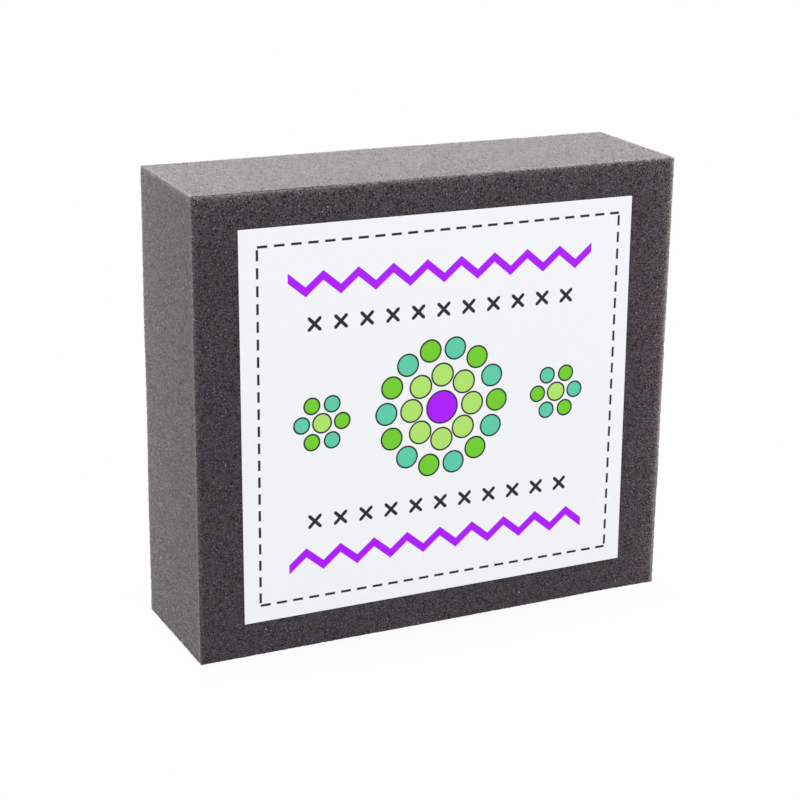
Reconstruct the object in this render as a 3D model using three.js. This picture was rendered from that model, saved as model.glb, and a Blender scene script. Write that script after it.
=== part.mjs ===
// Needle felting mat: a block of open-cell foam, standing on a narrow side, with a paper label glued to its front.
// Millimetres. +X runs along the width, the label faces -Y and +Z is up.
// The origin is the middle of the side that the mat stands on.

import * as THREE from 'three';
import { RoundedBoxGeometry } from 'three/addons/geometries/RoundedBoxGeometry.js';

// Foam block, as cut
const PAD_WIDTH = 101.6;
const PAD_HEIGHT = 91.6;
const PAD_THICKNESS = 29.25;
const CUT_EDGE_RADIUS = 0.3;
const CUT_EDGE_STEPS = 3;

// Label, centred on the front face: the bare foam left beside it, and above and below it
const LABEL_SIDE_MARGIN = 9.0;
const LABEL_END_MARGIN = 6.85;
const PAPER_THICKNESS = 0.15;

// Glue film behind the label: how thick it is, and how far it stops short of the paper's edge
const GLUE_THICKNESS = 0.08;
const GLUE_SETBACK = 0.4;

// Faces that touch are drawn this far apart, so that rounding never makes them overlap
const CONTACT_GAP = 0.002;

const charcoalFoam = new THREE.MeshStandardMaterial({ color: 0x4a4449, roughness: 0.97, metalness: 0 });
const whitePaper = new THREE.MeshStandardMaterial({ color: 0xf1f2f6, roughness: 0.55, metalness: 0 });
const clearGlue = new THREE.MeshStandardMaterial({ color: 0xd9d6cc, roughness: 0.35, metalness: 0 });

// The block stands on its narrow side, with its cut edges just broken.
function makeFoamBlock() {
  const shape = new RoundedBoxGeometry(
    PAD_WIDTH, PAD_THICKNESS, PAD_HEIGHT, CUT_EDGE_STEPS, CUT_EDGE_RADIUS,
  );
  const block = new THREE.Mesh(shape, charcoalFoam);
  block.name = 'foam_block';
  block.position.set(0, 0, PAD_HEIGHT / 2);
  return block;
}

// A flat layer on the front of the block: its back face lies `depth` in front of the foam.
function makeFrontLayer(name, width, height, thickness, depth, material) {
  const layer = new THREE.Mesh(new THREE.BoxGeometry(width, thickness, height), material);
  layer.name = name;
  layer.position.set(0, -(PAD_THICKNESS / 2 + depth + thickness / 2), PAD_HEIGHT / 2);
  return layer;
}

const labelWidth = PAD_WIDTH - 2 * LABEL_SIDE_MARGIN;
const labelHeight = PAD_HEIGHT - 2 * LABEL_END_MARGIN;
const glueDepth = CONTACT_GAP;
const paperDepth = glueDepth + GLUE_THICKNESS + CONTACT_GAP;

const feltingMat = new THREE.Group();
feltingMat.add(makeFoamBlock());
feltingMat.add(makeFrontLayer(
  'label_adhesive',
  labelWidth - 2 * GLUE_SETBACK,
  labelHeight - 2 * GLUE_SETBACK,
  GLUE_THICKNESS,
  glueDepth,
  clearGlue,
));
feltingMat.add(makeFrontLayer(
  'label_paper',
  labelWidth,
  labelHeight,
  PAPER_THICKNESS,
  paperDepth,
  whitePaper,
));

export default feltingMat;
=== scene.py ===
# %% [markdown]
# # A needle felting mat
# The mat is a block of charcoal foam with a paper label on its front. The block was cut from a big bun
# of open-cell foam with a band knife, so its faces are flat, its edges are sharp, and every face shows
# thousands of cut cells. This lesson makes the foam, the label and the glue between them, and then
# lights them as in a white photo tent. The real sizes are already in a frame made of plain solids, and
# everything below is measured from that frame.

# %% Load the frame
import math

import bpy
import numpy as np
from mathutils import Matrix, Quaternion, Vector


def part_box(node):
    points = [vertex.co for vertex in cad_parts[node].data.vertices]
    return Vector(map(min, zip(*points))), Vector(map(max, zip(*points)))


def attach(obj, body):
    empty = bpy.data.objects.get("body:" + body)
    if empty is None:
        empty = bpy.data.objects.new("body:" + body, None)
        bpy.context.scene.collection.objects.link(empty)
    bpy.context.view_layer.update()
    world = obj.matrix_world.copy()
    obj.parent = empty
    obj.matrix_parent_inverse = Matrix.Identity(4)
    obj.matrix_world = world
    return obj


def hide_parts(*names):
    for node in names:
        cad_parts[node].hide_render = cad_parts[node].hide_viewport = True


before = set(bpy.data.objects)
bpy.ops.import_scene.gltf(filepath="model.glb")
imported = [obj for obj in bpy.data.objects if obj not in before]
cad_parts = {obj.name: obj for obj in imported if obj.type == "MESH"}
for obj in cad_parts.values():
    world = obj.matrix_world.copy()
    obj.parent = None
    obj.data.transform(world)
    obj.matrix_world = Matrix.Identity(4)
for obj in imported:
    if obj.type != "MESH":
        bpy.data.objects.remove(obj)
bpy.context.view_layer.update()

MM = 0.001
foam_low, foam_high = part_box("foam_block")
label_low, label_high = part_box("label_paper")

# %% [markdown]
# ## The camera
# A picture is easier to match when the camera comes first. This one stands to the left of the mat and
# looks down on it a little. A long lens keeps the upright edges nearly parallel, and the camera is
# rolled by less than a degree. The view could be found by dragging the camera about, but a few measured
# numbers are exact and can be written down.

# %% Camera
CAMERA_PLACE = Vector((-166.57, -347.19, 167.42)) * MM
CAMERA_AZIMUTH = math.radians(-25.350)
CAMERA_ELEVATION = math.radians(17.939)
CAMERA_ROLL = math.radians(0.676)

# The lens and the sensor in millimetres, and the nearest and farthest distance drawn in metres
CAMERA_LENS = 89.87
CAMERA_SENSOR = 36.0
CAMERA_NEAR = 0.01
CAMERA_FAR = 20.0

towards_camera = Vector((
    math.sin(CAMERA_AZIMUTH) * math.cos(CAMERA_ELEVATION),
    -math.cos(CAMERA_AZIMUTH) * math.cos(CAMERA_ELEVATION),
    math.sin(CAMERA_ELEVATION),
))
camera_turn = (-towards_camera).to_track_quat("-Z", "Y") @ Quaternion((0, 0, 1), CAMERA_ROLL)

bpy.ops.object.select_all(action="DESELECT")
bpy.ops.object.camera_add(location=CAMERA_PLACE, rotation=camera_turn.to_euler())
camera = bpy.context.object
camera.name = "camera"
camera.data.lens = CAMERA_LENS
camera.data.sensor_width = CAMERA_SENSOR
camera.data.clip_start = CAMERA_NEAR
camera.data.clip_end = CAMERA_FAR
bpy.context.scene.camera = camera
print("camera at", camera.location)

# %% [markdown]
# ## Tools for a block
# The foam and the label both start as a cube that is stretched between two corners, as a sheet or a bun
# of foam is cut to size. The helpers below start such a block, break its edges with a bevel, and read
# and write its vertices as rows of numbers, which is much faster than taking them one by one. Loop cuts
# need a window, so a grid is cut by selecting the edges that run along one axis and subdividing them.

# %% Start, break, read and cut
# A bevel with this profile is a quarter of a circle.
ROUND_PROFILE = 0.5

# An edge runs along an axis if more than this share of its length does.
ALONG_AXIS = 0.999


def start_block(name, low, high):
    """Adds a cube between two corners as the start of a piece, with its place in its mesh."""
    bpy.ops.object.select_all(action="DESELECT")
    bpy.ops.mesh.primitive_cube_add(size=1, location=(low + high) / 2)
    piece = bpy.context.object
    piece.name = name
    piece.data.name = name
    piece.scale = high - low
    bpy.ops.object.transform_apply(location=True, rotation=True, scale=True)
    return piece


def break_edges(width, steps):
    """Rounds every edge of the block that was just started."""
    bpy.ops.object.mode_set(mode="EDIT")
    bpy.ops.mesh.select_all(action="SELECT")
    bpy.ops.mesh.bevel(offset=width, segments=steps, profile=ROUND_PROFILE, affect="EDGES")
    bpy.ops.object.mode_set(mode="OBJECT")


def read_rows(items, field, width, kind=np.float32):
    """One field of all vertices, edges, faces or corners of a mesh, with a row for each."""
    values = np.empty(len(items) * width, kind)
    items.foreach_get(field, values)
    return values.reshape(-1, width)


def read_points(mesh):
    """The mesh's vertices as rows of x, y and z."""
    return read_rows(mesh.vertices, "co", 3)


def write_points(mesh, points):
    """Puts the vertices back where the rows say."""
    mesh.vertices.foreach_set("co", np.ascontiguousarray(points, np.float32).ravel())
    mesh.update()


def cut_along(piece, axis, cuts):
    """Selects the edges that run along one axis and cuts each of them into equal lengths."""
    mesh = piece.data
    bpy.ops.object.mode_set(mode="EDIT")
    bpy.ops.mesh.select_mode(type="EDGE")
    bpy.ops.mesh.select_all(action="DESELECT")
    bpy.ops.object.mode_set(mode="OBJECT")
    points = read_points(mesh)
    ends = read_rows(mesh.edges, "vertices", 2, np.int32)
    run = points[ends[:, 1]] - points[ends[:, 0]]
    along = np.abs(run[:, axis]) > ALONG_AXIS * np.linalg.norm(run, axis=1)
    mesh.edges.foreach_set("select", along)
    bpy.ops.object.mode_set(mode="EDIT")
    bpy.ops.mesh.subdivide(number_cuts=cuts)
    bpy.ops.object.mode_set(mode="OBJECT")


print("block tools are ready")

# %% [markdown]
# ## The foam block
# Foam could be a plain box with a bumpy material, but then its edges would be straight lines and its
# faces would look printed on. Here the box gets broken edges, and is then cut into a fine grid, so that
# the pores can be pushed into the mesh itself. The block is cut like a loaf, first into thick slices
# and then each slice into four. Foam cells grow longest in the direction in which the foam rose, here
# through the thickness of the mat, so the slices are thicker that way. The bevel is narrower than the
# one on the frame's plain solid, because the torn tips break the edge further.

# %% Cut the block and its grid
CUT_EDGE = 0.1 * MM
CUT_EDGE_STEPS = 2
GRID_STEPS = Vector((0.28, 0.42, 0.28)) * MM
SLICE_PARTS = 4

foam = start_block("foam_pad", foam_low, foam_high)
break_edges(CUT_EDGE, CUT_EDGE_STEPS)
for axis, grid_step in enumerate(GRID_STEPS):
    flat_length = foam_high[axis] - foam_low[axis] - 2 * CUT_EDGE
    slices = round(flat_length / (grid_step * SLICE_PARTS))
    cut_along(foam, axis, slices - 1)
    cut_along(foam, axis, SLICE_PARTS - 1)
print("foam grid has", len(foam.data.vertices), "vertices")

# %% [markdown]
# ## A map of the block
# A surface pattern can be laid on a model in flat pictures when the model is used elsewhere, and that
# needs a map of where each face goes in the picture. An automatic unwrap would shatter a rough mesh
# into crumbs. While the block is still smooth it unfolds like a carton, one island for each side, so
# the map is made now and stays with the mesh.

# %% Unfold the block like a carton
MAP_GAP = 2.0 * MM

# Each row of the map holds two sides: the axis that they face, and the axes that run right and up there.
MAP_ROWS = ((1, 0, 2), (2, 0, 1), (0, 2, 1))


def unfold_block(piece, low, high):
    """Gives a block a map with one island a side, and says how much of the map's height is full."""
    mesh = piece.data
    size = high - low
    span = 2 * size.x + 3 * MAP_GAP
    normals = read_rows(mesh.polygons, "normal", 3)
    facing = np.abs(normals).argmax(axis=1)
    high_side = normals[np.arange(len(facing)), facing] > 0
    corners = read_rows(mesh.polygons, "loop_total", 1, np.int32)[:, 0]
    corner_vertex = read_rows(mesh.loops, "vertex_index", 1, np.int32)[:, 0]
    place = read_points(mesh)[corner_vertex] - np.array(low)
    corner_facing = np.repeat(facing, corners)
    corner_high = np.repeat(high_side, corners)
    spots = np.zeros((len(mesh.loops), 2), np.float32)
    bottom = MAP_GAP
    for across, right, up in MAP_ROWS:
        for second in (False, True):
            here = (corner_facing == across) & (corner_high == second)
            left = MAP_GAP + second * (size[right] + MAP_GAP)
            spots[here, 0] = left + place[here, right]
            spots[here, 1] = bottom + place[here, up]
        bottom += size[up] + MAP_GAP
    layer = mesh.uv_layers.new(name="OFBake")
    layer.data.foreach_set("uv", (spots / span).ravel())
    return bottom / span


print("map is full up to", round(unfold_block(foam, foam_low, foam_high), 3))

# %% [markdown]
# ## Out of square
# A knife never cuts foam quite square: here the corners are out by up to about 0.4 mm. A lattice could
# pull them. With only eight corners it is as easy to slide every vertex by its share of the nearest
# corners' slips. A corner is named by 0 for low and 1 for high along each axis, and its slip is in
# millimetres.

# %% Slide the corners
FOAM_SLIPS = {
    (0, 0, 0): (0.0, -0.25, 0.0),
    (1, 0, 0): (0.10, 0.03, 0.0),
    (0, 0, 1): (-0.07, 0.02, 0.06),
    (1, 0, 1): (0.06, -0.03, -0.18),
    (0, 1, 0): (-0.30, -0.28, 0.0),
    (0, 1, 1): (0.12, 0.03, 0.38),
    (1, 1, 1): (0.16, -0.09, 0.05),
}


def slide_corners(piece, low, high, slips):
    """Moves each vertex of a block by its share of the slips of the block's corners."""
    points = read_points(piece.data)
    share = np.clip((points - np.array(low)) / np.array(high - low), 0, 1)
    for corner, slip in slips.items():
        weight = np.prod(np.where(corner, share, 1 - share), axis=1)
        points += weight[:, None] * np.array(slip) * MM
    write_points(piece.data, points)


slide_corners(foam, foam_low, foam_high, FOAM_SLIPS)
print("largest slip of a corner:", max(abs(x) for slip in FOAM_SLIPS.values() for x in slip), "mm")

# %% [markdown]
# ## Blade marks
# A band knife wanders a little, so a cut face is never quite flat. A sculpt brush could draw the waves,
# but not the same way twice. The Displace modifier pushes the whole block at once, by a soft cloud. A
# pattern can be read in the space of another object, so an empty that is stretched along the thickness
# stretches the pattern with it. The block is read before and after, because the next steps measure from
# the smooth cut.

# %% Let the blade wander
BLADE_WAVE = 30.0 * MM
BLADE_DEPTH = 0.25 * MM
BLADE_DETAIL = 1
RISE_STRETCH = 1.5

# This grey of a texture leaves the surface where it is.
MIDDLE_GREY = 0.5


def push_surface(piece, texture, strength, guide=None, direction="NORMAL"):
    """Displaces a piece by a texture, in its own space or in a guide object's, and applies the result."""
    push = piece.modifiers.new(texture.name, "DISPLACE")
    push.texture = texture
    push.texture_coords = "OBJECT" if guide else "LOCAL"
    push.texture_coords_object = guide
    push.direction = direction
    push.strength = strength
    push.mid_level = MIDDLE_GREY
    bpy.context.view_layer.objects.active = piece
    bpy.ops.object.modifier_apply(modifier=push.name)


bpy.ops.object.select_all(action="DESELECT")
bpy.ops.object.empty_add(type="PLAIN_AXES", location=(0, 0, 0))
rise_guide = bpy.context.object
rise_guide.scale = (1, RISE_STRETCH, 1)
bpy.context.view_layer.update()

blade = bpy.data.textures.new("blade_wander", "CLOUDS")
blade.noise_scale = BLADE_WAVE
blade.noise_depth = BLADE_DETAIL
smooth_points = read_points(foam.data)
smooth_normals = read_rows(foam.data.vertex_normals, "vector", 3)
push_surface(foam, blade, BLADE_DEPTH, guide=rise_guide)
blade_points = read_points(foam.data)
print("the blade wanders by up to", np.abs(blade_points - smooth_points).max() / MM, "mm")

# %% [markdown]
# ## Pores and torn tips
# The cells that the knife opens are about half a millimetre wide: each is a small dark pit, and the
# struts between them stand up as ragged tips. Stamping them one by one would take days. A second
# Displace with a cell pattern makes all the pits, and Randomize then moves every vertex a little,
# mostly in or out, to make the torn tips. Its seed is fixed, so the foam is the same on every run.

# %% Press the pores in and tear the tips
CELL_SIZE = 0.45 * MM
CELL_DEPTH = 0.09 * MM
TIP_HEIGHT = 0.09 * MM
TIP_EVENNESS = 0.0
TIP_OUTWARD = 0.8
TIP_SEED = 4

cells = bpy.data.textures.new("cut_cells", "VORONOI")
cells.noise_scale = CELL_SIZE
push_surface(foam, cells, CELL_DEPTH, guide=rise_guide)
bpy.data.objects.remove(rise_guide)
bpy.ops.object.mode_set(mode="EDIT")
bpy.ops.mesh.select_all(action="SELECT")
bpy.ops.transform.vertex_random(
    offset=TIP_HEIGHT,
    uniform=TIP_EVENNESS,
    normal=TIP_OUTWARD,
    seed=TIP_SEED,
)
bpy.ops.object.mode_set(mode="OBJECT")
rough_points = read_points(foam.data)
print("pores and tips move the cut by up to", np.abs(rough_points - blade_points).max() / MM, "mm")

# %% [markdown]
# ## One level for the blade
# The tips now end at any height, but a blade shears off all that stands above its cut. A boolean cut on
# a mesh this fine would be slow. Each vertex already has its smooth normal, so its height over the
# smooth cut is a sum, and what is higher than the blade's level is set to that level. Most vertices are
# below it, as pits. The whole cut is then set a little proud, so that pits and tips together lie about
# where the plain face was.

# %% Shear the tips level
# Per cent of the vertices that lie below the blade's level
SHARE_OF_PITS = 70
TIP_STAND = 0.06 * MM

rise = ((rough_points - blade_points) * smooth_normals).sum(axis=1)
cut_level = np.percentile(rise, SHARE_OF_PITS)
pore_depth = np.minimum(rise, cut_level) - cut_level
rough_points += smooth_normals * (pore_depth - rise + TIP_STAND)[:, None]
print("pores go", -pore_depth.min() / MM, "mm deep at most, and", -pore_depth.mean() / MM, "on average")

# %% [markdown]
# ## Where the foam is pressed
# The mat stands on one side, and the label presses on another, so the tips are flat there. The press
# could be simulated, but for tips this small a limit does the same: no vertex goes below the floor, and
# none under the label comes out past the front of the foam.

# %% Flatten what is pressed
under_label = (
    (rough_points[:, 0] > label_low.x)
    & (rough_points[:, 0] < label_high.x)
    & (rough_points[:, 2] > label_low.z)
    & (rough_points[:, 2] < label_high.z)
    & (rough_points[:, 1] < foam_low.y + CUT_EDGE)
)
rough_points[under_label, 1] = np.maximum(rough_points[under_label, 1], foam_low.y)
rough_points[:, 2] = np.maximum(rough_points[:, 2], foam_low.z)
write_points(foam.data, rough_points)
print("pressed flat under the label:", int(under_label.sum()), "vertices")

# %% [markdown]
# ## Light through the edges
# At a cut edge the foam is so thin that light from the next side shines through it, and a little of
# that light still glows some millimetres farther in. Real scattering would show this, but it renders
# slowly and is lost when the model is used elsewhere. So this light is painted into the foam's colour:
# the glow is worked out once for each vertex, how strong it is where two sides meet, and how it fades
# with the distance from the edge.

# %% Work out the light at the edges
SIDES = ("left", "front", "bottom", "right", "back", "top")
EDGE_FADE = 0.36 * MM
OTHER_EDGES = 0.2

# The side that glows, the side whose light comes through, and how strongly
SHINE_THROUGH = {
    ("front", "right"): 0.88,
    ("front", "top"): 0.46,
    ("front", "left"): 0.12,
    ("left", "back"): 0.80,
    ("left", "top"): 0.40,
    ("left", "front"): 0.5,
    ("top", "left"): 0.4,
    ("top", "back"): 0.3,
    ("top", "front"): 0.03,
    ("right", "front"): 0.3,
    ("back", "left"): 0.12,
}
DEEP_FADE = 6.0 * MM
DEEP_GLOW = {
    ("front", "right"): 0.055,
    ("front", "top"): 0.045,
    ("left", "back"): 0.10,
    ("top", "left"): 0.03,
}

to_low_sides = smooth_points - np.array(foam_low)
to_high_sides = np.array(foam_high) - smooth_points
to_sides = np.concatenate([to_low_sides, to_high_sides], axis=1)
by_distance = np.argsort(to_sides, axis=1)
own_side, next_side = by_distance[:, 0], by_distance[:, 1]
edge_distance = np.take_along_axis(to_sides, next_side[:, None], axis=1)[:, 0]

edge_strength = np.full((len(SIDES), len(SIDES)), OTHER_EDGES)
edge_strength[:, SIDES.index("bottom")] = 0.0
for (side, other), strength in SHINE_THROUGH.items():
    edge_strength[SIDES.index(side), SIDES.index(other)] = strength
edge_light = edge_strength[own_side, next_side] * np.exp(-edge_distance / EDGE_FADE)

deep_light = np.zeros(len(edge_light))
for (side, other), strength in DEEP_GLOW.items():
    fade = np.exp(-to_sides[:, SIDES.index(other)] / DEEP_FADE)
    deep_light += np.where(own_side == SIDES.index(side), strength * fade, 0.0)
print("strongest light at an edge:", edge_light.max(), "and deep in the foam:", deep_light.max())

# %% [markdown]
# ## Notes for the material
# A material can't tell how deep a pore is or how close the next edge lies, but it can read a note that
# each vertex keeps. There are four: the height in a pore, the light at an edge, the light deeper in,
# and the way that the smooth cut faced. The last one is there because light that wanders among the tips
# leaves as from the whole cut, and not as from each tip.

# %% Keep four notes on each vertex
def note(piece, name, values):
    """Keeps a number or a direction for each vertex under a name that a material can read."""
    kind, field = ("FLOAT", "value") if values.ndim == 1 else ("FLOAT_VECTOR", "vector")
    attribute = piece.data.attributes.new(name, kind, "POINT")
    attribute.data.foreach_set(field, values.astype(np.float32).ravel())


note(foam, "pore_height", pore_depth / pore_depth.std())
note(foam, "edge_light", edge_light)
note(foam, "deep_light", deep_light)
note(foam, "cut_facing", smooth_normals)
bpy.ops.object.select_all(action="DESELECT")
foam.select_set(True)
bpy.context.view_layer.objects.active = foam
bpy.ops.object.shade_smooth()
print("four notes kept on", len(foam.data.vertices), "vertices")

# %% [markdown]
# ## Shader arithmetic
# A pattern such as a dashed line is a sum, and sums are easier to read as sums than as a web of nodes.
# The small class below holds one output of a node. Writing `a * 2 + b` with it adds the Math nodes,
# `vector` does the same for directions and places, and `node` adds any other kind of node.


# %% Wires that can be added and multiplied
class Wire:
    """One output socket of a shader node."""

    def __init__(self, socket):
        self.socket = socket
        self.tree = socket.id_data

    def node(self, kind, settings=None, inputs=None, output=0):
        """Adds a node: its settings are set first, then its inputs are linked or filled."""
        made = self.tree.nodes.new(kind)
        for name, value in (settings or {}).items():
            setattr(made, name, value)
        for name, value in (inputs or {}).items():
            feed(made.inputs[name], value)
        return Wire(made.outputs[output])

    def maths(self, operation, *values):
        return self.node("ShaderNodeMath", {"operation": operation}, dict(enumerate((self, *values))))

    def vector(self, operation, *values):
        return self.node("ShaderNodeVectorMath", {"operation": operation}, dict(enumerate((self, *values))))

    def reflected(self, operation, value):
        return self.node("ShaderNodeMath", {"operation": operation}, {0: value, 1: self})

    def __add__(self, other):
        return self.maths("ADD", other)

    def __radd__(self, other):
        return self.reflected("ADD", other)

    def __sub__(self, other):
        return self.maths("SUBTRACT", other)

    def __rsub__(self, other):
        return self.reflected("SUBTRACT", other)

    def __mul__(self, other):
        return self.maths("MULTIPLY", other)

    def __rmul__(self, other):
        return self.reflected("MULTIPLY", other)

    def __truediv__(self, other):
        return self.maths("DIVIDE", other)

    def __rtruediv__(self, other):
        return self.reflected("DIVIDE", other)

    def __abs__(self):
        return self.maths("ABSOLUTE")

    def ramp(self, low, high, to_low=0.0, to_high=1.0):
        """A smooth climb from one value to another while this wire goes from low to high."""
        return self.node(
            "ShaderNodeMapRange",
            {"interpolation_type": "SMOOTHSTEP", "clamp": True},
            {"Value": self, "From Min": low, "From Max": high, "To Min": to_low, "To Max": to_high},
        )

    def mix(self, first, second):
        """A colour that goes from the first to the second as this wire goes from 0 to 1."""
        return self.node(
            "ShaderNodeMix",
            {"data_type": "RGBA"},
            {0: self, 6: first, 7: second},
            output=2,
        )

    def split(self):
        """The x, y and z of a place, as three wires."""
        parts = self.node("ShaderNodeSeparateXYZ", None, {"Vector": self}).socket.node.outputs
        return [Wire(part) for part in parts]


def feed(socket, value):
    """Links a wire to a socket, or sets the socket's own value."""
    if isinstance(value, Wire):
        socket.id_data.links.new(value.socket, socket)
    else:
        socket.default_value = value


print("shader arithmetic is ready")

# %% [markdown]
# ## Materials and patterns
# Each finish of the mat is one Principled shader, which is what other programs read best. Two random
# patterns make up nearly all of it: cells, as in foam, and clouds, as in dye or paper. Pictures could
# hold them too, but a pattern made by nodes has no pixels and no seams, and its size is a number of
# millimetres. Colours are written as they read on a screen, because that is how they are measured, and
# turned into amounts of light.

# %% Colours, cells and clouds
CLOUD_ROUGHNESS = 0.5


def rgb(red, green, blue):
    """A colour as it reads on a screen, from 0 to 255, turned into light by the standard screen curve."""
    shares = [x / 255 for x in (red, green, blue)]
    return tuple(x / 12.92 if x <= 0.04045 else ((x + 0.055) / 1.055) ** 2.4 for x in shares) + (1.0,)


def new_material(name):
    """A material with its Principled shader, and the wire of its Object coordinates."""
    material = bpy.data.materials.new(name)
    material.use_nodes = True
    tree = material.node_tree
    shader = tree.nodes["Principled BSDF"]
    place = Wire(tree.nodes.new("ShaderNodeTexCoord").outputs["Object"])
    return material, shader, place


def read_note(place, name, output="Fac"):
    """A note that the vertices keep, spread over the surface between them."""
    return place.node("ShaderNodeAttribute", {"attribute_name": name}, output=output)


def cell_pattern(place, size, output):
    """Random cells of one size: the distance from the nearest cell's middle, or a random colour a cell."""
    return place.node(
        "ShaderNodeTexVoronoi",
        {"feature": "F1", "voronoi_dimensions": "3D"},
        {"Vector": place, "Scale": 1 / size, "Randomness": 1.0},
        output=output,
    )


def cloud_pattern(place, size, detail, output="Fac"):
    """A soft random pattern, from about 0.2 to 0.8, with patches of one size."""
    return place.node(
        "ShaderNodeTexNoise",
        {"noise_dimensions": "3D"},
        {"Vector": place, "Scale": 1 / size, "Detail": detail, "Roughness": CLOUD_ROUGHNESS},
        output=output,
    )


def red_of(colour):
    """The red share of a colour wire, for a random number a cell."""
    return colour.node("ShaderNodeSeparateColor", None, {"Color": colour}, output="Red")


print("patterns are ready")

# %% [markdown]
# ## Light and dark in the foam
# Charcoal foam is dark because light sinks into its open cells. Close up it is a crowd of light specks,
# where cut struts catch the light, and of dark pits, and each has a ring of the other shade around it.
# These are drawn into the colour: partly the foam's own grain, partly painted light on the specks and
# painted shade in the pits. The pores in the mesh are too coarse for the finest of these, so two cell
# patterns draw them. Straight cells would look like a mosaic, so a cloud bends them out of true first.
# A finer cloud stands for the fibres.

# %% Foam grain
SPECK_CELL = 0.58 * MM
PIT_CELL = 0.60 * MM
FIBRE_CLOUD = 0.16 * MM
FIBRE_DETAIL = 1.0
BEND_CLOUD = 0.40 * MM
BEND_DETAIL = 0.0
BEND_REACH = 0.50 * MM

# Distances from the middle of a cell, as shares of its size, and how strong the ring is
MIDDLE_FADE = (0.15, 0.40)
RING_RISE = (0.25, 0.45)
RING_FALL = (0.50, 0.75)
RING_SHARE = 0.6

# How much each pattern adds to the lightness, or takes away
SPECK_LIGHT = 0.60
PIT_DARK = 0.25
FIBRE_LIGHT = 0.47
CUT_LIGHT = 0.06
# Deeper in the mesh's pores the colour is darker: painted shade in the pores.
PORE_LIGHT = 0.03

# The lightness of the darkest and the lightest grain, and a pit's depth beside a speck's height
GRAIN_RANGE = (-0.2, 1.2)
RELIEF_PIT = 0.5


def ringed(distance):
    """1 in the middle of a cell, below 0 in a ring around it, and 0 between the cells."""
    ring = distance.ramp(*RING_RISE) * distance.ramp(*RING_FALL, 1.0, 0.0)
    return distance.ramp(*MIDDLE_FADE, 1.0, 0.0) - ring * RING_SHARE


def foam_grain(place):
    """How light the foam is from place to place, from 0 to 1, and the relief that goes with it."""
    grown = place.vector("MULTIPLY", (1, 1 / RISE_STRETCH, 1))
    sway = cloud_pattern(grown, BEND_CLOUD, BEND_DETAIL, output="Color")
    bent = sway.vector("MULTIPLY_ADD", (BEND_REACH, BEND_REACH, BEND_REACH), grown)
    speck = ringed(cell_pattern(bent, SPECK_CELL, "Distance"))
    tone = red_of(cell_pattern(bent, SPECK_CELL, "Color"))
    pit = ringed(cell_pattern(bent, PIT_CELL, "Distance"))
    fibre = cloud_pattern(grown, FIBRE_CLOUD, FIBRE_DETAIL)
    height = read_note(place, "pore_height")
    cut_cells = speck * tone * SPECK_LIGHT - pit * PIT_DARK
    # The pores' depth darkens the lightness: painted shade in the pores.
    lightness = cut_cells + fibre * FIBRE_LIGHT + CUT_LIGHT + height * PORE_LIGHT
    relief = speck * tone - pit * RELIEF_PIT
    return lightness.ramp(*GRAIN_RANGE), relief


print("foam grain has specks of", SPECK_CELL / MM, "mm and pits of", PIT_CELL / MM, "mm")

# %% [markdown]
# ## The foam's colour
# The grain runs from the colour of a pit to that of a tip, and the pit's dark is partly painted shade.
# Here and there a cell gets a painted glint, a bright spot where a lamp would glint on a cell skin, and
# the dye is a little more plum in one place and more olive in the next. A single grey would miss both,
# and a painted picture would repeat. The notes then paint light into the edges, most of all on the tips,
# for the light that shines through.

# %% Foam colour
# The pit's dark is partly painted shade in the open cells, and the tip's light is partly painted light on
# the cut struts.
PIT_COLOUR = rgb(22, 18, 21)
TIP_COLOUR = rgb(116, 104, 113)
# The pale colour that the painted light at the edges mixes in.
PAINTED_EDGE_LIGHT = rgb(205, 195, 192)
# A painted glint: a bright colour for a spot where a lamp would glint on a cell skin.
PAINTED_GLINT_COLOUR = rgb(168, 165, 168)

# The dyes multiply the colour under them.
PLUM_DYE = (1.0, 0.99, 1.10, 1)
OLIVE_DYE = (1.0, 1.01, 0.92, 1)

# Painted glints: how far apart their cells are, the share of cells that get a bright spot, and the spot's
# edge.
GLINT_CELL = 1.10 * MM
GLINT_SHARE = 0.03
GLINT_FADE = (0.10, 0.16)
DYE_CLOUD = 3.0 * MM
DYE_DETAIL = 1.0
DYE_FADE = (0.35, 0.65)
# How much painted light the edges take: a base share and a share on the tips, and deeper in, a grain
# threshold and a share on the tips.
EDGE_BASE = 0.4
EDGE_ON_TIPS = 1.4
DEEP_FROM_GRAIN = 0.12
DEEP_ON_TIPS = 5.0


def foam_colour(place, grain):
    """The foam's own colour with its dye, with painted glints, and with painted light where light shines
    through at its edges.
    """
    plain = grain.mix(PIT_COLOUR, TIP_COLOUR)
    # Painted glints: a few cells get a bright spot in the colour, where a lamp would glint.
    glint_spot = cell_pattern(place, GLINT_CELL, "Distance").ramp(*GLINT_FADE, 1.0, 0.0)
    kept = red_of(cell_pattern(place, GLINT_CELL, "Color")).maths("GREATER_THAN", 1 - GLINT_SHARE)
    with_painted_glints = (glint_spot * kept).mix(plain, PAINTED_GLINT_COLOUR)
    dye = cloud_pattern(place, DYE_CLOUD, DYE_DETAIL).ramp(*DYE_FADE).mix(PLUM_DYE, OLIVE_DYE)
    dyed = place.node(
        "ShaderNodeMix",
        {"data_type": "RGBA", "blend_type": "MULTIPLY"},
        {0: 1.0, 6: with_painted_glints, 7: dye},
        output=2,
    )
    # Painted light: the colour turns paler at the edges and near them, for light that shines through.
    edge_glow = read_note(place, "edge_light") * (EDGE_BASE + grain * EDGE_ON_TIPS)
    deep_glow = read_note(place, "deep_light") * (grain - DEEP_FROM_GRAIN) * DEEP_ON_TIPS
    return (edge_glow + deep_glow).mix(dyed, PAINTED_EDGE_LIGHT)


print("foam colours run from", PIT_COLOUR[:3], "to", TIP_COLOUR[:3])

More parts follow.
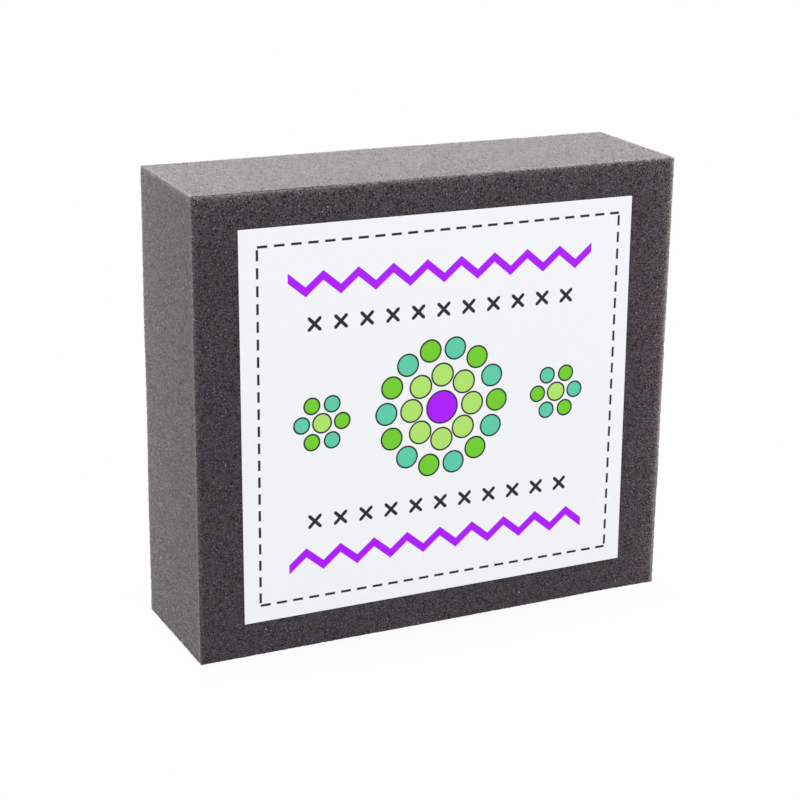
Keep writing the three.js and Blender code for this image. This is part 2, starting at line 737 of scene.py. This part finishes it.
# %% [markdown]
# ## Leaning rims
# Every cell has a rim that the knife left leaning one way or another, so each catches the lamps a
# little differently. A mesh fine enough for that would be far too heavy. Instead the way that the
# smooth cut faced is tipped by a random amount for each rim. The cube of a random number leaves most
# rims nearly straight and tips a few of them a lot.

# %% Rims of the cells
RIM_CELL = 0.26 * MM
RIM_STRETCH = 2.0

# How strongly the cube of a random number tips a rim along x, y and z
RIM_LEAN = (3.6, 0.75, 0.15)
MIDDLE_CHANCE = (0.5, 0.5, 0.5)


def leaning_rims(place):
    """Which way the surface faces: as the smooth cut did, but tipped at random from rim to rim."""
    cut = read_note(place, "cut_facing", output="Vector")
    facing = cut.node(
        "ShaderNodeVectorTransform",
        {"vector_type": "NORMAL", "convert_from": "OBJECT", "convert_to": "WORLD"},
        {"Vector": cut},
    )
    drawn = place.vector("MULTIPLY", (1, 1 / RIM_STRETCH, 1))
    lean = cell_pattern(drawn, RIM_CELL, "Color").vector("SUBTRACT", MIDDLE_CHANCE)
    cube = lean.vector("MULTIPLY", lean).vector("MULTIPLY", lean)
    return cube.vector("MULTIPLY_ADD", RIM_LEAN, facing).vector("NORMALIZE")


print("rims are", RIM_CELL / MM, "mm apart")

# %% [markdown]
# ## The foam's finish
# Seen square on, foam shows its pits and is nearly black. Seen along its face, it shows only the tips
# and turns pale grey. Sheen does that: it is the soft light that fine fibres catch at a low angle. Foam
# has no gloss, so its roughness is high and its specular level low. A faint bump lifts the specks over
# the pits.

# %% Charcoal foam
FOAM_ROUGHNESS = 0.95
FOAM_SPECULAR = 0.1
FOAM_SHEEN = 1.0
FOAM_SHEEN_ROUGHNESS = 0.4
FOAM_SHEEN_TINT = rgb(210, 210, 206)
BUMP_STRENGTH = 0.04
BUMP_HEIGHT = 0.08 * MM


def make_foam_finish():
    material, shader, place = new_material("charcoal_foam")
    grain, relief = foam_grain(place)
    bump = place.node(
        "ShaderNodeBump",
        None,
        {
            "Height": relief,
            "Strength": BUMP_STRENGTH,
            "Distance": BUMP_HEIGHT,
            "Normal": leaning_rims(place),
        },
    )
    feed(shader.inputs["Base Color"], foam_colour(place, grain))
    feed(shader.inputs["Normal"], bump)
    shader.inputs["Roughness"].default_value = FOAM_ROUGHNESS
    shader.inputs["Specular IOR Level"].default_value = FOAM_SPECULAR
    shader.inputs["Sheen Weight"].default_value = FOAM_SHEEN
    shader.inputs["Sheen Roughness"].default_value = FOAM_SHEEN_ROUGHNESS
    shader.inputs["Sheen Tint"].default_value = FOAM_SHEEN_TINT
    return material


foam.data.materials.append(make_foam_finish())
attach(foam, "root")
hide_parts("foam_block")
print("foam pad done")

# %% [markdown]
# ## The label
# The label is one sheet of smooth white paper. It could be a flat card, but real paper follows what it
# is glued to, so the sheet is cut into a grid, ripples by a few hundredths of a millimetre, and has
# softly pressed edges. It sits a little out of square, by the same slips on its face and on its back,
# which are given in millimetres to the right and up.

# %% Paper sheet
PAPER_STEP = 2.0 * MM
PAPER_RIPPLE = 0.03 * MM
PAPER_RIPPLE_SIZE = 9.0 * MM
PAPER_EDGE = 0.03 * MM
PAPER_EDGE_STEPS = 2
PAPER_SMOOTH_BELOW = math.radians(20)
CORNER_SLIPS = {
    (0, 0): (0.08, 0.0),
    (1, 0): (0.14, 0.14),
    (0, 1): (-0.25, 0.09),
    (1, 1): (-0.58, -0.24),
}
label_slips = {
    (right, side, up): (slip_right, 0.0, slip_up)
    for side in (0, 1)
    for (right, up), (slip_right, slip_up) in CORNER_SLIPS.items()
}

paper = start_block("label_sheet", label_low, label_high)
break_edges(PAPER_EDGE, PAPER_EDGE_STEPS)
for axis in (0, 2):
    strips = round((label_high[axis] - label_low[axis]) / PAPER_STEP)
    cut_along(paper, axis, strips - 1)
ripple = bpy.data.textures.new("paper_ripple", "CLOUDS")
ripple.noise_scale = PAPER_RIPPLE_SIZE
push_surface(paper, ripple, PAPER_RIPPLE, direction="Y")
unfold_block(paper, label_low, label_high)
slide_corners(paper, label_low, label_high, label_slips)
bpy.ops.object.shade_smooth_by_angle(angle=PAPER_SMOOTH_BELOW)
print("label sheet has", len(paper.data.polygons), "faces")

# %% [markdown]
# ## Ink
# Each motif of a print could be cut from the mesh, but ink has no thickness, so the material draws it.
# Every motif is a distance in millimetres from a line or a point, and where that distance is small
# enough there is ink. The sheet keeps count of its colour so far and of where ink covers it, because
# ink is glossier than paper.

# %% Ink by distance
INK_EDGE = 0.05


def is_ink(distance, reach):
    """1 where a distance is under the reach, in millimetres, with a narrow soft edge."""
    return distance.ramp(reach - INK_EDGE, reach + INK_EDGE, 1.0, 0.0)


def from_middle_of_step(along, step):
    """How far a point is from the middle of its step in a row that repeats."""
    return (along / step).maths("FRACT") * step - step / 2


def far_from(right, up):
    """The distance from a point, given how far to the right of it and above it we are."""
    return (right * right + up * up).maths("SQRT")


class Print:
    """What is printed so far: the colour of the sheet, and how far ink covers it."""

    def __init__(self, paper_colour):
        self.colour = paper_colour
        self.cover = 0.0

    def ink(self, mask, colour):
        self.colour = mask.mix(self.colour, colour)
        self.cover = mask.maths("MAXIMUM", self.cover)


print("ink has an edge of", 2 * INK_EDGE, "mm")

# %% [markdown]
# ## Rosettes
# The label carries a sewing pattern. Its middle is a rosette of felt balls, with a small one on each
# side. Every ball could be placed by itself, but a ring of balls repeats by its angle, so one ball is
# drawn for a whole ring.

# %% Rosettes of felt balls
BLACK_INK = rgb(14, 13, 15)
PURPLE_INK = rgb(172, 0, 251)
GREEN_INK = rgb(112, 204, 38)
LIGHT_GREEN_INK = rgb(176, 228, 108)
TEAL_INK = rgb(92, 204, 168)
OUTLINE = 0.34
SMALL_ROSETTE_PLACE = 25.5

# For each ring: its radius and that of its balls in millimetres, how many there are, and the inks in turn
BIG_ROSETTE = (
    (0.0, 3.3, 1, (PURPLE_INK, PURPLE_INK)),
    (6.6, 2.3, 8, (LIGHT_GREEN_INK, LIGHT_GREEN_INK)),
    (12.0, 2.2, 14, (GREEN_INK, TEAL_INK)),
)
SMALL_ROSETTE = (
    (0.0, 1.9, 1, (LIGHT_GREEN_INK, LIGHT_GREEN_INK)),
    (4.2, 1.6, 6, (TEAL_INK, GREEN_INK)),
)


def draw_rosette(sheet, right, up, rings):
    """Rings of felt balls with thin outlines, around a middle ball."""
    reach = far_from(right, up)
    turn = up.maths("ARCTAN2", right) / math.tau
    for ring, ball, count, inks in rings:
        # Counted in balls: a whole turn keeps it above 0, and the half sets a ball at the right.
        step = turn * count + count + 0.5
        swing = (step.maths("FRACT") - 0.5) * (math.tau / count)
        away = far_from(reach * swing.maths("COSINE") - ring, reach * swing.maths("SINE"))
        odd = (step / 2).maths("FRACT").maths("GREATER_THAN", 0.5)
        sheet.ink(is_ink(away, ball), odd.mix(*inks))
        sheet.ink(is_ink(abs(away - ball), OUTLINE / 2), BLACK_INK)


print("big rosette has", sum(ring[2] for ring in BIG_ROSETTE), "balls")

# %% [markdown]
# ## Stitches
# Bands of zigzag and rows of cross stitch lie above and below the rosettes, and a running stitch frames
# them all. Stitches could be modelled as thread, but these are printed, so they are ink too. A row
# repeats along its length, and what is above the middle is mirrored below it by taking the distance
# from the middle without its sign.

# %% Running stitch, zigzag and crosses
# Sizes and places on the label in millimetres, and the share of a step that a dash fills
STITCH_THICK = 0.5
STITCH_STEP = 3.4
STITCH_SHARE = 0.62
ZIGZAG_PLACE = 27.6
ZIGZAG_STEP = 7.2
ZIGZAG_RISE = 3.0
ZIGZAG_THICK = 1.5
ZIGZAG_HALF_LENGTH = 32.4
CROSS_PLACE = 19.8
CROSS_STEP = 5.4
CROSS_SIZE = 2.8
CROSS_THICK = 0.7
CROSS_HALF_LENGTH = 29.7


def draw_running_stitch(sheet, right, up, half_width, half_height):
    """A frame of dashes."""
    for along, across, length, place in (
        (right, up, half_width, half_height),
        (up, right, half_height, half_width),
    ):
        line = is_ink(abs(abs(across) - place), STITCH_THICK / 2)
        from_dash = abs(from_middle_of_step(along + STITCH_STEP / 2, STITCH_STEP))
        dash = is_ink(from_dash, STITCH_STEP * STITCH_SHARE / 2)
        sheet.ink(line * dash * is_ink(abs(along), length), BLACK_INK)


def draw_zigzag(sheet, right, up):
    """Two bands of zigzag, one above and one below the middle."""
    steepness = 2 * ZIGZAG_RISE / ZIGZAG_STEP
    climb = abs(from_middle_of_step(right, ZIGZAG_STEP)) * steepness
    slant = math.cos(math.atan(steepness))
    away = abs(abs(up) - ZIGZAG_PLACE - ZIGZAG_RISE / 2 + climb) * slant
    sheet.ink(is_ink(away, ZIGZAG_THICK / 2) * is_ink(abs(right), ZIGZAG_HALF_LENGTH), PURPLE_INK)


def draw_crosses(sheet, right, up):
    """Two rows of cross stitch, whose arms slant by half a right angle."""
    sideways = from_middle_of_step(right + CROSS_STEP / 2, CROSS_STEP)
    upwards = abs(up) - CROSS_PLACE
    arms = abs(abs(sideways) - abs(upwards)) * math.sqrt(0.5)
    in_row = is_ink(abs(sideways), CROSS_SIZE / 2) * is_ink(abs(right), CROSS_HALF_LENGTH)
    sheet.ink(is_ink(arms, CROSS_THICK / 2) * is_ink(abs(upwards), CROSS_SIZE / 2) * in_row, BLACK_INK)


print("stitches repeat every", STITCH_STEP, ZIGZAG_STEP, "and", CROSS_STEP, "mm")

# %% [markdown]
# ## The printed paper
# Plain white would look like plastic. Paper is felted from fibres, so a fine cloud moves its white a
# little. Then each motif is printed over the one before it, measured from the middle of the label in
# millimetres.

# %% White paper with a print
PAPER_SHADES = (rgb(244, 245, 249), rgb(246, 247, 251))
PAPER_FIBRE = 0.6 * MM
PAPER_FIBRE_DETAIL = 3.0
PAPER_FIBRE_RANGE = (0.2, 0.8)
PAPER_ROUGHNESS = 0.62
PAPER_SPECULAR = 0.3
INK_ROUGHNESS = 0.45
FRAME_INSET = 3.4


def make_paper_finish():
    material, shader, place = new_material("printed_paper")
    middle = (label_low + label_high) / 2
    from_middle = place.node(
        "ShaderNodeMapping",
        None,
        {"Vector": place, "Location": -middle / MM, "Scale": (1 / MM, 1 / MM, 1 / MM)},
    )
    right, _, up = from_middle.split()
    half = (label_high - label_low) / (2 * MM)

    fibres = cloud_pattern(place, PAPER_FIBRE, PAPER_FIBRE_DETAIL).ramp(*PAPER_FIBRE_RANGE)
    sheet = Print(fibres.mix(*PAPER_SHADES))
    draw_running_stitch(sheet, right, up, half.x - FRAME_INSET, half.z - FRAME_INSET)
    draw_zigzag(sheet, right, up)
    draw_crosses(sheet, right, up)
    draw_rosette(sheet, right, up, BIG_ROSETTE)
    draw_rosette(sheet, abs(right) - SMALL_ROSETTE_PLACE, up, SMALL_ROSETTE)
    feed(shader.inputs["Base Color"], sheet.colour)
    feed(shader.inputs["Roughness"], sheet.cover.ramp(0.0, 1.0, PAPER_ROUGHNESS, INK_ROUGHNESS))
    shader.inputs["Specular IOR Level"].default_value = PAPER_SPECULAR
    return material


paper.data.materials.append(make_paper_finish())
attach(paper, "root")
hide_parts("label_paper")
print("label done")

# %% [markdown]
# ## The glue
# Between the label and the foam lies a thin film of glue, which stops just short of the paper's edge.
# It never shows unless the label is peeled off, so the frame's plain solid has the right shape already
# and only needs a finish: a cloudy cream film that is glossier in some places than in others.

# %% Glue
GLUE_CLOUD = 3.0 * MM
GLUE_DETAIL = 2.0
GLUE_SHADES = (rgb(205, 201, 188), rgb(224, 221, 210))
GLUE_CLOUD_RANGE = (0.3, 0.7)
GLUE_ROUGHNESS = (0.3, 0.5)


def make_glue_finish():
    material, shader, place = new_material("label_glue")
    cloud = cloud_pattern(place, GLUE_CLOUD, GLUE_DETAIL)
    feed(shader.inputs["Base Color"], cloud.mix(*GLUE_SHADES))
    feed(shader.inputs["Roughness"], cloud.ramp(*GLUE_CLOUD_RANGE, *GLUE_ROUGHNESS))
    return material


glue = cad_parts["label_adhesive"]
glue.data.materials.clear()
glue.data.materials.append(make_glue_finish())
print("glue done")

# %% [markdown]
# ## The floor
# The mat stands on the pale floor of a white tent. A floor that is lit to pure white would throw too
# much light back on the mat. So the floor is a mid grey for light, and white for what looks at it: the
# camera, gloss and glass. Close to the mat a small share of the grey is left, which keeps the faint
# shadow there. It also makes the floor there a little darker where no shadow falls, so the shade near
# the mat is partly real shadow and partly painted shade. It gives way to white sooner past the mat's
# ends than in front of it.

# %% Floor
WHITE = (1, 1, 1, 1)
WHITE_STRENGTH = 1.0
FLOOR_SIZE = 8.0
FLOOR_GREY = (0.35, 0.35, 0.35, 1)
FLOOR_WHITE_SHARE = 0.94

# Where the shade starts and ends beyond the mat in metres, how many times sooner it ends past the
# mat's ends, and how much farther out the floor counts as at those ends
FLOOR_SHADE_REACH = (0.0, 0.018)
FLOOR_BRIGHT_ENDS = 5.0
FLOOR_END_LIFT = 0.006


def seen_directly(tree):
    """A wire that is 1 for what the camera, gloss or glass sees, and 0 for light."""
    path = tree.nodes.new("ShaderNodeLightPath")
    camera_ray = Wire(path.outputs["Is Camera Ray"])
    glossy_ray = Wire(path.outputs["Is Glossy Ray"])
    through_ray = Wire(path.outputs["Is Transmission Ray"])
    return camera_ray.maths("MAXIMUM", glossy_ray).maths("MAXIMUM", through_ray)


def floor_white_share(spot):
    """How much of the white shows: a little less close to the mat, where the shade is partly painted."""
    x, y, _ = spot.split()
    past_ends = (abs(x) - foam_high.x).maths("MAXIMUM", 0) * FLOOR_BRIGHT_ENDS
    past_faces = (abs(y) - foam_high.y).maths("MAXIMUM", 0)
    along = x / foam_high.x
    past_mat = past_ends.maths("MAXIMUM", past_faces) + along * along * FLOOR_END_LIFT
    return past_mat.ramp(*FLOOR_SHADE_REACH, FLOOR_WHITE_SHARE, 1.0)


bpy.ops.object.select_all(action="DESELECT")
bpy.ops.mesh.primitive_plane_add(size=FLOOR_SIZE, location=(0, 0, 0))
floor = bpy.context.object
floor.name = "floor"
floor_paint = bpy.data.materials.new("floor_paint")
floor_paint.use_nodes = True
floor_tree = floor_paint.node_tree
floor_tree.nodes.remove(floor_tree.nodes["Principled BSDF"])
floor_seen = seen_directly(floor_tree)
floor_spot = Wire(floor_tree.nodes.new("ShaderNodeTexCoord").outputs["Object"])
matt = floor_seen.node("ShaderNodeBsdfDiffuse", None, {"Color": FLOOR_GREY})
shining = floor_seen.node("ShaderNodeEmission", None, {"Color": WHITE, "Strength": WHITE_STRENGTH})
floor_shown = floor_seen.node(
    "ShaderNodeMixShader",
    None,
    {0: floor_seen * floor_white_share(floor_spot), 1: matt, 2: shining},
)
feed(floor_tree.nodes["Material Output"].inputs["Surface"], floor_shown)
floor.data.materials.append(floor_paint)
print("floor done")

# %% [markdown]
# ## The tent
# The walls of the tent send soft light from all round. Big lamps could stand for each wall, but the
# world does it at once, at less than half of full white so that the mat keeps its dark sides. As with
# the floor, what the camera sees behind the mat is white.

# %% World
WORLD_LIGHT = 0.43

world = bpy.data.worlds.new("white_tent")
bpy.context.scene.world = world
world.use_nodes = True
world_tree = world.node_tree
walls = world_tree.nodes["Background"]
walls.inputs["Color"].default_value = WHITE
walls.inputs["Strength"].default_value = WORLD_LIGHT
world_seen = seen_directly(world_tree)
backdrop = world_seen.node("ShaderNodeBackground", None, {"Color": WHITE, "Strength": WHITE_STRENGTH})
world_shown = world_seen.node(
    "ShaderNodeMixShader",
    None,
    {0: world_seen, 1: Wire(walls.outputs[0]), 2: backdrop},
)
feed(world_tree.nodes["World Output"].inputs["Surface"], world_shown)
print("world light", WORLD_LIGHT)

# %% [markdown]
# ## The lamps
# One big lamp high above and in front lights the top and the label. A low one at the right front lifts
# the front face, a weak and slightly cool one at the left lights that end, and a slightly warm one
# behind gives the back its light and the top its pale sheen. Small lamps would make hard shadows, so
# all of them are wide soft areas.

# %% Lamps
# For each lamp: its place and the length of its side in metres, its power in watts, and its colour
LAMPS = {
    "top_lamp": ((0.0, -3.60, 7.20), 6.4, 609.0, (1, 1, 1)),
    "front_lamp": ((1.2, -2.3, 0.25), 1.6, 19.0, (1, 1, 1)),
    "left_lamp": ((-2.2, -0.2, 0.35), 1.6, 6.2, (0.94, 1, 1)),
    "back_lamp": ((0.30, 2.4, 0.70), 1.8, 92.5, (1, 0.93, 0.94)),
}

aim = (foam_low + foam_high) / 2
for name, (place, side, power, tint) in LAMPS.items():
    bpy.ops.object.select_all(action="DESELECT")
    turn = (aim - Vector(place)).to_track_quat("-Z", "Y").to_euler()
    bpy.ops.object.light_add(type="AREA", location=place, rotation=turn)
    lamp = bpy.context.object
    lamp.name = name
    lamp.data.size = side
    lamp.data.energy = power
    lamp.data.color = tint
    lamp.visible_camera = False
bpy.context.scene.view_settings.view_transform = "Standard"
print("lamps:", ", ".join(LAMPS))
